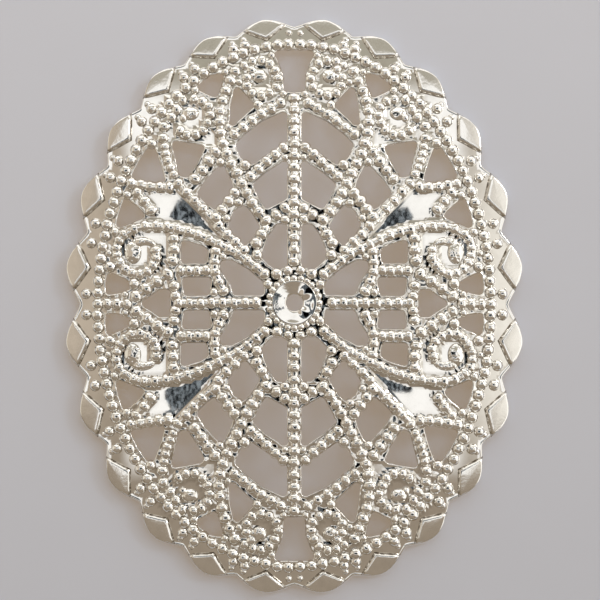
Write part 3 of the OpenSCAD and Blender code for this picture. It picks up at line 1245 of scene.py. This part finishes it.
@dataclass
class Lozenges:
    """The raised lozenge in each scallop: a bowed outer edge along the rim, a straight V inside, and a flat top.

    `reach` and `above` are its profile from the crown down to the foot, in shares of the skirt and of the height,
    and `shade` is how much painted shade, with some tarnish, darkens each step, most at the foot.
    """

    dome: Dome
    rim: Rim
    finish: SilverPlate
    inset: float = 0.72
    half_length: float = 1.42
    bow: float = 0.58
    bow_power: float = 1.8
    depth: float = 0.84
    side_growth: float = 0.13
    height: float = 0.26
    crown: float = 1.07
    crown_back: float = 0.12
    skirt: float = 0.24
    outer_skirt: float = 0.3
    reach: tuple[float, ...] = (-0.5, -0.25, 0.0, 0.12, 0.3, 0.92, 1.0)
    above: tuple[float, ...] = (1.05, 1.03, 1.0, 0.96, 0.82, 0.05, -0.3)
    shade: tuple[float, ...] = (0.0, 0.0, 0.0, 0.0, 0.1, 0.7, 0.9)

    def plan(self) -> Array:
        """The outline of one lozenge's top, along the rim and out from the line of its tips.

        The outer edge is the bow's height times one less the share of the way to a tip, raised to a power. The two
        inner edges are straight lines to the point of the V.

        Returns:
            The outline's points, counter-clockwise from above.
        """
        share = np.linspace(1, -1, 19)
        arc = np.stack([share * self.half_length, self.bow * (1 - np.abs(share) ** self.bow_power)], -1)
        fall = np.linspace(0, 1, 6)[1:-1, None]
        left, right, apex = arc[-1], arc[0], np.array([0, -self.depth])
        return np.vstack([arc, left * (1 - fall) + apex * fall, apex, apex * (1 - fall) + right * fall])[::-1]

    def build(self) -> list[bpy.types.Object]:
        """Builds the lozenges and dresses them.

        Each ring of points is the top's outline moved out along its own normal, at its own height: the top, which
        is crowned by a fiftieth of a millimetre, a rounded shoulder, the bevel and the foot. The skirt is narrower
        along the rim than inside the V, and a lozenge at a side is larger than one at an end.

        Returns:
            The piece, alone in a list.
        """
        plan = self.plan()
        mitre = mitres(plan, 0.7)
        # One inside the V, and nothing from a quarter of a millimetre outside the line of the tips.
        inner = np.clip((0.25 - plan[:, 1:]) / 0.3, 0, 1)
        reach = np.array(self.reach)[:, None, None]
        share = np.where(reach > 0, self.outer_skirt + (1 - self.outer_skirt) * inner, 1.0)
        rings = plan + reach * (share * mitre * self.skirt)
        growth = (1 + self.side_growth * np.cos(bearings(self.rim.scallops, 0.5)) ** 2)[:, None]
        place, along, out = self.rim.scallop_middles(self.inset)
        place = place - out * (growth - 1) * self.bow
        grown = rings[None] * growth[:, None, None]
        spread = place[:, None, None] + grown[..., :1] * along[:, None, None] + grown[..., 1:] * out[:, None, None]
        above = (np.array(self.above) * self.height)[None, :, None]
        tops = self.dome.place(*(place - out * self.crown_back).T, self.height * self.crown)
        skin = Skin("rim_lozenges")
        skin.add_shells(tops, self.dome.place(spread[..., 0], spread[..., 1], above), np.array(self.shade))
        return [skin.build(self.finish.build())]


@dataclass
class Cup:
    """The dished cup in the middle: a cone-like dish round the hole, with a rounded lip and a few dents.

    A dent is given by its bearing in degrees, its distance from the middle, its height, its width in degrees and
    its reach towards and away from the middle.
    """

    dome: Dome
    finish: SilverPlate
    hole: float = 0.65
    lip: float = 1.76
    slope: float = 0.2
    bottom: float = 0.045
    sides: int = 120
    dents: tuple[tuple[float, float, float, float, float], ...] = (
        (41, 1.02, 0.125, 19, 0.44),
        (-46, 0.84, 0.12, 18, 0.42),
        (-95, 1.58, 0.02, 14, 0.12),
        (-10, 1.55, 0.02, 12, 0.12),
        (172, 1.2, 0.006, 20, 0.3),
    )

    def build(self) -> list[bpy.types.Object]:
        """Builds the cup and dresses it.

        Each row is a circle about the dome's top. From below, the rows climb the wall of the hole, the dish climbs
        straight to the lip, and the lip turns over and down to below the sheet, where the ring closes. A dent is a
        bell curve of the bearing times one of the distance.

        Returns:
            The piece, alone in a list.
        """
        dish = np.linspace(self.hole + 0.09, self.lip - 0.12, 12)
        climb = self.bottom + (dish - dish[0]) * self.slope
        top = climb[-1]
        # Up the wall of the hole, over the dish, and round the lip to below the sheet.
        inner = self.hole + np.array([0.01, 0.0, 0.01, 0.04])
        outer = self.lip - np.array([0.07, 0.04, 0.02, 0.0, 0.0, 0.5])
        radius = np.concatenate([inner, dish, outer])[:, None]
        height = np.concatenate([[-0.42, -0.03, 0.01, 0.03], climb, [top + 0.01, top, top - 0.06, 0.15, -0.1, -0.43]])
        turn = bearings(self.sides)[None]
        rise = np.zeros((len(radius), self.sides))
        for bearing, where, tall, wide, deep in self.dents:
            off = np.degrees(np.angle(np.exp(1j * (turn - np.radians(bearing)))))
            rise += tall * np.exp(-((off / wide) ** 2) - ((radius - where) / deep) ** 2)
        crown = self.dome.height(np.zeros(1), np.zeros(1), self.dome.sheet)
        z = height[:, None] + rise * (height[:, None] > 0.04) + crown
        points = np.stack([radius * np.cos(turn), radius * np.sin(turn), z], -1)
        rows = len(radius)
        faces = band_faces(rows + 1, self.sides) % (rows * self.sides)
        skin = Skin("centre_cup")
        skin.add(points.reshape(-1, 3), [faces[:, ::-1]])
        return [skin.build(self.finish.build())]


@dataclass(frozen=True)
class Patch:
    """A soft-edged box of light: where it is in a direction's x and y, its half sizes, edge, glow and colour."""

    name: str
    middle: Pair
    half: Pair
    edge: float
    glow: float
    colour: str


@dataclass
class Studio:
    """A pale floor, soft light from a bright ceiling with a dark middle, and the camera above.

    The light is a world shader that depends on direction alone. Around straight up it is dark, as the camera and
    the cloth round it are, then comes a bright ceiling, duller towards the near side, and pale walls with windows.
    A stop pairs a place on a ramp with a colour. A dark box is a middle, half sizes, and the cut of its corners.
    The knit's scale is for a unit of direction, so 140 is a thread of 1.8 mm at the camera's distance.
    """

    aim: tuple[float, float, float] = (0.44, 0.377, 0.4)
    distance: float = 255.0
    tilt: float = 3.2
    scale: float = 12.744
    frame_size: int = 600
    sensor: float = 36.0
    clip: Pair = (10.0, 20000.0)
    floor_half: float = 2500.0
    floor_colour: str = "#ABBFDA"
    # A painted glow: a warm emission over the floor, which lightens the shade under the charm.
    floor_painted_glow: str = "#80694B"
    mottle_size: float = 12.0
    mottle: float = 0.04
    # A painted fall of light over the floor, darker towards the near side, in place of the light's own falloff.
    painted_falloff_reach: float = 30.0
    fall: Pair = (0.89, 1.09)
    window_way: tuple[float, float, float] = (0.76, 0.4, 0.52)
    window_distance: float = 1200.0
    window_size: Pair = (250.0, 200.0)
    window_power: float = 1.6
    wall_stops: tuple[tuple[float, str], ...] = ((0.0, "#766952"), (0.5, "#968A7B"))
    knit_stops: tuple[tuple[float, str], ...] = ((0.49, "#040507"), (0.57, "#8C959C"))
    knit_scale: float = 140.0
    lens: Patch = Patch("lens", (0.0, 0.055), (0.16, 0.3), 0.05, 1.0, "#000000")
    dark_boxes: tuple[tuple[Pair, ...], ...] = (
        ((-0.09, 0.05), (0.285, 0.205), (0.036, 0.509)),
        ((0.27, 0.0615), (0.09, 0.1805), (0.0535, 0.4746)),
    )
    dark_edge: float = 0.004
    dark_slant: float = 0.8
    patches: tuple[Patch, ...] = (
        Patch("far wall", (0.0, 0.62), (1.2, 0.16), 0.16, 1.0, "#ABA699"),
        Patch("left wall", (-0.78, 0.2), (0.28, 0.34), 0.3, 1.0, "#C2B5A5"),
        Patch("right wall", (0.8, 0.16), (0.3, 0.4), 0.2, 1.05, "#EFEBE3"),
        Patch("left window", (-0.95, 0.3), (0.13, 0.5), 0.06, 1.0, "#E4DCCC"),
        Patch("far window", (0.1, 0.87), (0.95, 0.19), 0.06, 1.28, "#FFFDF8"),
        Patch("right window", (0.9, 0.1), (0.2, 0.62), 0.06, 1.2, "#FFFDF8"),
        Patch("ceiling", (0.0, 0.1), (0.47, 0.36), 0.06, 1.02, "#FFFEFC"),
    )

    @staticmethod
    def away(tree: Tree, axis: Socket, centre: float) -> Socket:
        """The size of the difference between a direction's x or y and a value."""
        off = add_node(tree, "Math", {1: centre}, {0: axis}, operation="SUBTRACT").outputs[0]
        return add_node(tree, "Math", links={0: off}, operation="ABSOLUTE").outputs[0]

    def soft_box(self, tree: Tree, axes: tuple[Socket, Socket], middle: Pair, half: Pair, edge: float) -> Socket:
        """A mask that is one inside a box of directions and falls smoothly to nothing round it.

        Args:
            tree: the world's node tree.
            axes: the direction's x and y.
            middle: the box's middle.
            half: its half sizes.
            edge: the width of its soft edge.

        Returns:
            The mask's socket.
        """
        masks: dict[str | int, Socket] = {}
        for side, (axis, centre, reach) in enumerate(zip(axes, middle, half)):
            limits = {"From Min": reach + edge / 2, "From Max": reach - edge / 2}
            off = {"Value": self.away(tree, axis, centre)}
            masks[side] = add_node(tree, "MapRange", limits, off, interpolation_type="SMOOTHSTEP").outputs[0]
        return add_node(tree, "Math", links=masks, operation="MULTIPLY").outputs[0]

    def cut_box(self, tree: Tree, axes: tuple[Socket, Socket], middle: Pair, half: Pair, cut: Pair) -> Socket:
        """A sharp box whose corners are cut off where the slanted reach passes its limit.

        The slanted reach is the size of x plus `dark_slant` times the distance in y from the cut's own middle.

        Args:
            tree: the world's node tree.
            axes: the direction's x and y.
            middle: the box's middle.
            half: its half sizes.
            cut: the middle of the cut in y, and the limit.

        Returns:
            The mask's socket.
        """
        across, off = self.away(tree, axes[0], 0.0), self.away(tree, axes[1], cut[0])
        slant = {1: self.dark_slant}
        reach = add_node(tree, "Math", slant, {0: off, 2: across}, operation="MULTIPLY_ADD").outputs[0]
        whole = self.soft_box(tree, axes, middle, half, self.dark_edge)
        inside = self.soft_box(tree, (reach, axes[1]), (0.0, middle[1]), (cut[1], 1.0), self.dark_edge)
        return add_node(tree, "Math", links={0: whole, 1: inside}, operation="MULTIPLY").outputs[0]

    def laid(self, tree: Tree, axes: tuple[Socket, Socket], patch: Patch, below: Socket) -> Socket:
        """Lays a patch of light over the colour below it.

        Args:
            tree: the world's node tree.
            axes: the direction's x and y.
            patch: the patch.
            below: the colour so far.

        Returns:
            The new colour's socket.
        """
        bright = (*(part * patch.glow for part in linear(patch.colour)[:3]), 1.0)
        links = {"Factor": self.soft_box(tree, axes, patch.middle, patch.half, patch.edge), "A": below}
        return add_node(tree, "Mix", {"B": bright}, links, data_type="RGBA", label=patch.name).outputs["Result"]

    def sky(self) -> None:
        """Makes the world: walls, windows and a bright ceiling, each laid over the last, and the dark middle.

        The middle is black where the camera is, and beside it a noise gives the cloth a knit, drawn as coarse as
        it needs to show in the small leaves. Below the horizon there is only the walls' colour.
        """
        world = bpy.data.worlds.new("studio")
        bpy.context.scene.world = world
        tree = bare_tree(world)
        way = add_node(tree, "TexCoord").outputs["Generated"]
        x, y, z = add_node(tree, "SeparateXYZ", links={0: way}).outputs
        coarse = {"Scale": self.knit_scale, "Detail": 1.0, "Roughness": 0.6}
        knit = add_node(tree, "TexNoise", coarse, {"Vector": way}).outputs["Fac"]
        walls, thread = (add_node(tree, "ValToRGB", links={0: level}) for level in (z, knit))
        for ramp, stops in ((walls, self.wall_stops), (thread, self.knit_stops)):
            for element, (place, tone) in zip(ramp.color_ramp.elements, stops):
                element.position, element.color = place, linear(tone)
        colour = walls.outputs[0]
        for patch in self.patches:
            colour = self.laid(tree, (x, y), patch, colour)
        left, right = (self.cut_box(tree, (x, y), *box) for box in self.dark_boxes)
        shade = add_node(tree, "Math", links={0: left, 1: right}, operation="MAXIMUM").outputs[0]
        above = add_node(tree, "Math", {1: 0.0}, {0: z}, operation="GREATER_THAN").outputs[0]
        links = {"Factor": shade, "A": colour, "B": self.laid(tree, (x, y), self.lens, thread.outputs[0])}
        dark = add_node(tree, "Mix", links=links, data_type="RGBA").outputs["Result"]
        links = {"Factor": above, "A": walls.outputs[0], "B": dark}
        around = add_node(tree, "Mix", links=links, data_type="RGBA").outputs["Result"]
        light = add_node(tree, "Background", {"Strength": 1.0}, {"Color": around})
        add_node(tree, "OutputWorld", links={"Surface": light.outputs[0]})

    def window(self) -> None:
        """Makes the lamp that stands for the window at the right, turned to the charm."""
        lamp = bpy.data.lights.new("window", "AREA")
        lamp.shape, lamp.energy = "RECTANGLE", self.window_power
        lamp.size, lamp.size_y = (size * MM for size in self.window_size)
        window = placed("window", lamp)
        window.location = Vector(self.window_way).normalized() * self.window_distance * MM
        window.rotation_euler = Vector(self.window_way).to_track_quat("Z", "Y").to_euler()

    def floor(self) -> None:
        """Makes the floor, a wide frosted panel with a faint painted glow.

        Frosting gives it a dull, even face. The glow is a warm emission that lightens the shade under the charm, in
        place of light bounced off the silver. A faint mottle, and a painted fall of light towards the near side in
        place of the light's own falloff, vary both its colour and its glow.
        """
        half = self.floor_half * MM
        mesh = bpy.data.meshes.new("floor")
        mesh.from_pydata([(-half, -half, 0), (half, -half, 0), (half, half, 0), (-half, half, 0)], [], [(0, 1, 2, 3)])
        board = bpy.data.materials.new("frosted_panel")
        tree = bare_tree(board)
        place = add_node(tree, "TexCoord").outputs["Object"]
        clouds = {"Scale": 1 / (self.mottle_size * MM), "Detail": 3.0}
        cloud = add_node(tree, "TexNoise", clouds, {"Vector": place}).outputs["Fac"]
        along = add_node(tree, "SeparateXYZ", links={0: place}).outputs[1]
        # Painted light: the floor's tone and glow fall towards the near side.
        reach = self.painted_falloff_reach * MM
        limits = {"From Min": -reach, "From Max": reach, "To Min": self.fall[0], "To Max": self.fall[1]}
        fall = add_node(tree, "MapRange", limits, {"Value": along}).outputs[0]
        mottle = {1: self.mottle}
        level = add_node(tree, "Math", mottle, {0: cloud, 2: fall}, operation="MULTIPLY_ADD").outputs[0]
        # The glow is painted light, a warm emission in place of light bounced into the shade under the charm.
        tone, glow = (
            add_node(tree, "VectorMath", {0: linear(colour)[:3]}, {3: level}, operation="SCALE").outputs[0]
            for colour in (self.floor_colour, self.floor_painted_glow)
        )
        grade = {"Roughness": 0.9, "Emission Strength": 1.0}
        shader = add_node(tree, "BsdfPrincipled", grade, {"Base Color": tone, "Emission Color": glow})
        add_node(tree, "OutputMaterial", links={"Surface": shader.outputs[0]})
        mesh.materials.append(board)
        floor = placed("floor", mesh)

    def camera(self) -> None:
        """Makes the camera, nearly straight above and leaning towards the near side.

        Its focal length gives `scale` pixels to the millimetre at its distance.
        """
        data = bpy.data.cameras.new("camera")
        data.sensor_width = self.sensor
        data.lens = data.sensor_width * self.scale * self.distance / self.frame_size
        data.clip_start, data.clip_end = (reach * MM for reach in self.clip)
        camera = placed("camera", data)
        lean = math.radians(self.tilt)
        away = Vector((0, -math.sin(lean), math.cos(lean)))
        camera.location = Vector(self.aim) * MM + away * self.distance * MM
        camera.rotation_euler = (lean, 0, 0)
        bpy.context.scene.camera = camera

    def build(self) -> None:
        """Builds the sky, the window, the floor and the camera, and has the colours shown as they are."""
        for step in (self.sky, self.window, self.floor, self.camera):
            step()
        bpy.context.scene.view_settings.view_transform = "Standard"


def main() -> None:
    """Builds every piece in order and reports it."""
    logging.basicConfig(level=logging.INFO, format="%(message)s", stream=sys.stdout)
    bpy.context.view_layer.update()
    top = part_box(NODE)[1].z / MM
    dome = Dome(lift=top - Dome.rise - Dome.sheet - CUP_RISE)
    rim = Rim()
    log.info("the dome is lifted by %.3f mm", dome.lift)
    sheet = PiercedSheet(dome, rim, GROUND)
    beads = BeadWork(dome, rim, sheet, BEADS)
    wires = WireWork(dome, BEADS, SCROLLS)
    for work in (sheet, beads, wires, Lozenges(dome, rim, LOZENGES), Cup(dome, CUP)):
        for piece in work.build():
            log.info("%s: %d faces", piece.name, len(piece.data.polygons))
    Studio().build()
    log.info("studio built")


if __name__ == "__main__":
    main()
